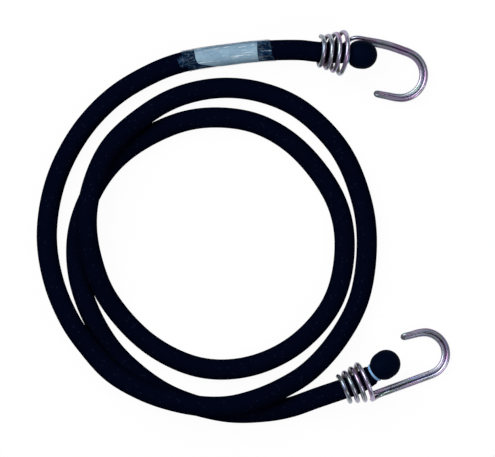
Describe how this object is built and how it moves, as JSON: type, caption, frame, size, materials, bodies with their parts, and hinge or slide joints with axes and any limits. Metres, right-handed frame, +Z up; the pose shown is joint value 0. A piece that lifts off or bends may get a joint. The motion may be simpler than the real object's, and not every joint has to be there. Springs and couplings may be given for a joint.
{
  "type": "bungee cord",
  "caption": "Elastic luggage cord in a woven sheath, lying in loops, with a doubled wire hook and a ball cap at each end and a taped bare label.",
  "frame": {"origin": "middle of the footprint, on the floor that the loops lie on", "axes": "+Z up off the floor, +X towards the hooks, +Y towards the taped end"},
  "size_m": [0.2019, 0.1916, 0.0234],
  "materials": {
    "sheath": "close woven sheath, black with a navy cast",
    "rubber_core": "natural latex strand",
    "plated_wire": "bright plated steel wire with a violet and green cast",
    "ball_cap": "dark matt moulded cap",
    "clinch_ring": "pale blue-grey ring",
    "label_sticker": "pale bare sticker",
    "clear_tape": "clear glossy parcel tape"
  },
  "bodies": {
    "cord": {"sheath_loops": "sheath", "rubber_strand_1_loops": "rubber_core", "rubber_strand_2_loops": "rubber_core", "rubber_strand_3_loops": "rubber_core", "rubber_strand_4_loops": "rubber_core", "label_sticker": "label_sticker", "clear_tape": "clear_tape"},
    "end_a": {"sheath_end_a": "sheath", "rubber_strand_1_end_a": "rubber_core", "rubber_strand_2_end_a": "rubber_core", "rubber_strand_3_end_a": "rubber_core", "rubber_strand_4_end_a": "rubber_core", "ball_cap_a": "ball_cap", "clinch_ring_a": "clinch_ring"},
    "hook_a": {"hook_a": "plated_wire"},
    "end_b": {"sheath_end_b": "sheath", "rubber_strand_1_end_b": "rubber_core", "rubber_strand_2_end_b": "rubber_core", "rubber_strand_3_end_b": "rubber_core", "rubber_strand_4_end_b": "rubber_core", "ball_cap_b": "ball_cap", "clinch_ring_b": "clinch_ring"},
    "hook_b": {"hook_b": "plated_wire"}
  },
  "joints": [
    {"name": "end_a_stretch", "type": "slide", "parent": "cord", "child": "end_a", "axis": [0.9962, -0.0697, -0.0523], "range_m": [0, 0.02], "stiffness_N_per_m": 250, "deforming": ["sheath_end_a", "rubber_strand_1_end_a", "rubber_strand_2_end_a", "rubber_strand_3_end_a", "rubber_strand_4_end_a"]},
    {"name": "hook_a_swivel", "type": "hinge", "parent": "end_a", "child": "hook_a", "pos_m": [0.0474, 0.0849, 0.0146], "axis": [0.9962, -0.0697, -0.0523], "continuous": true},
    {"name": "end_b_stretch", "type": "slide", "parent": "cord", "child": "end_b", "axis": [0.9442, 0.3251, -0.0523], "range_m": [0, 0.028], "stiffness_N_per_m": 250, "deforming": ["sheath_end_b", "rubber_strand_1_end_b", "rubber_strand_2_end_b", "rubber_strand_3_end_b", "rubber_strand_4_end_b"]},
    {"name": "hook_b_swivel", "type": "hinge", "parent": "end_b", "child": "hook_b", "pos_m": [0.0592, -0.0748, 0.0104], "axis": [0.9442, 0.3251, -0.0523], "range_deg": [-115, 90]}
  ]
}
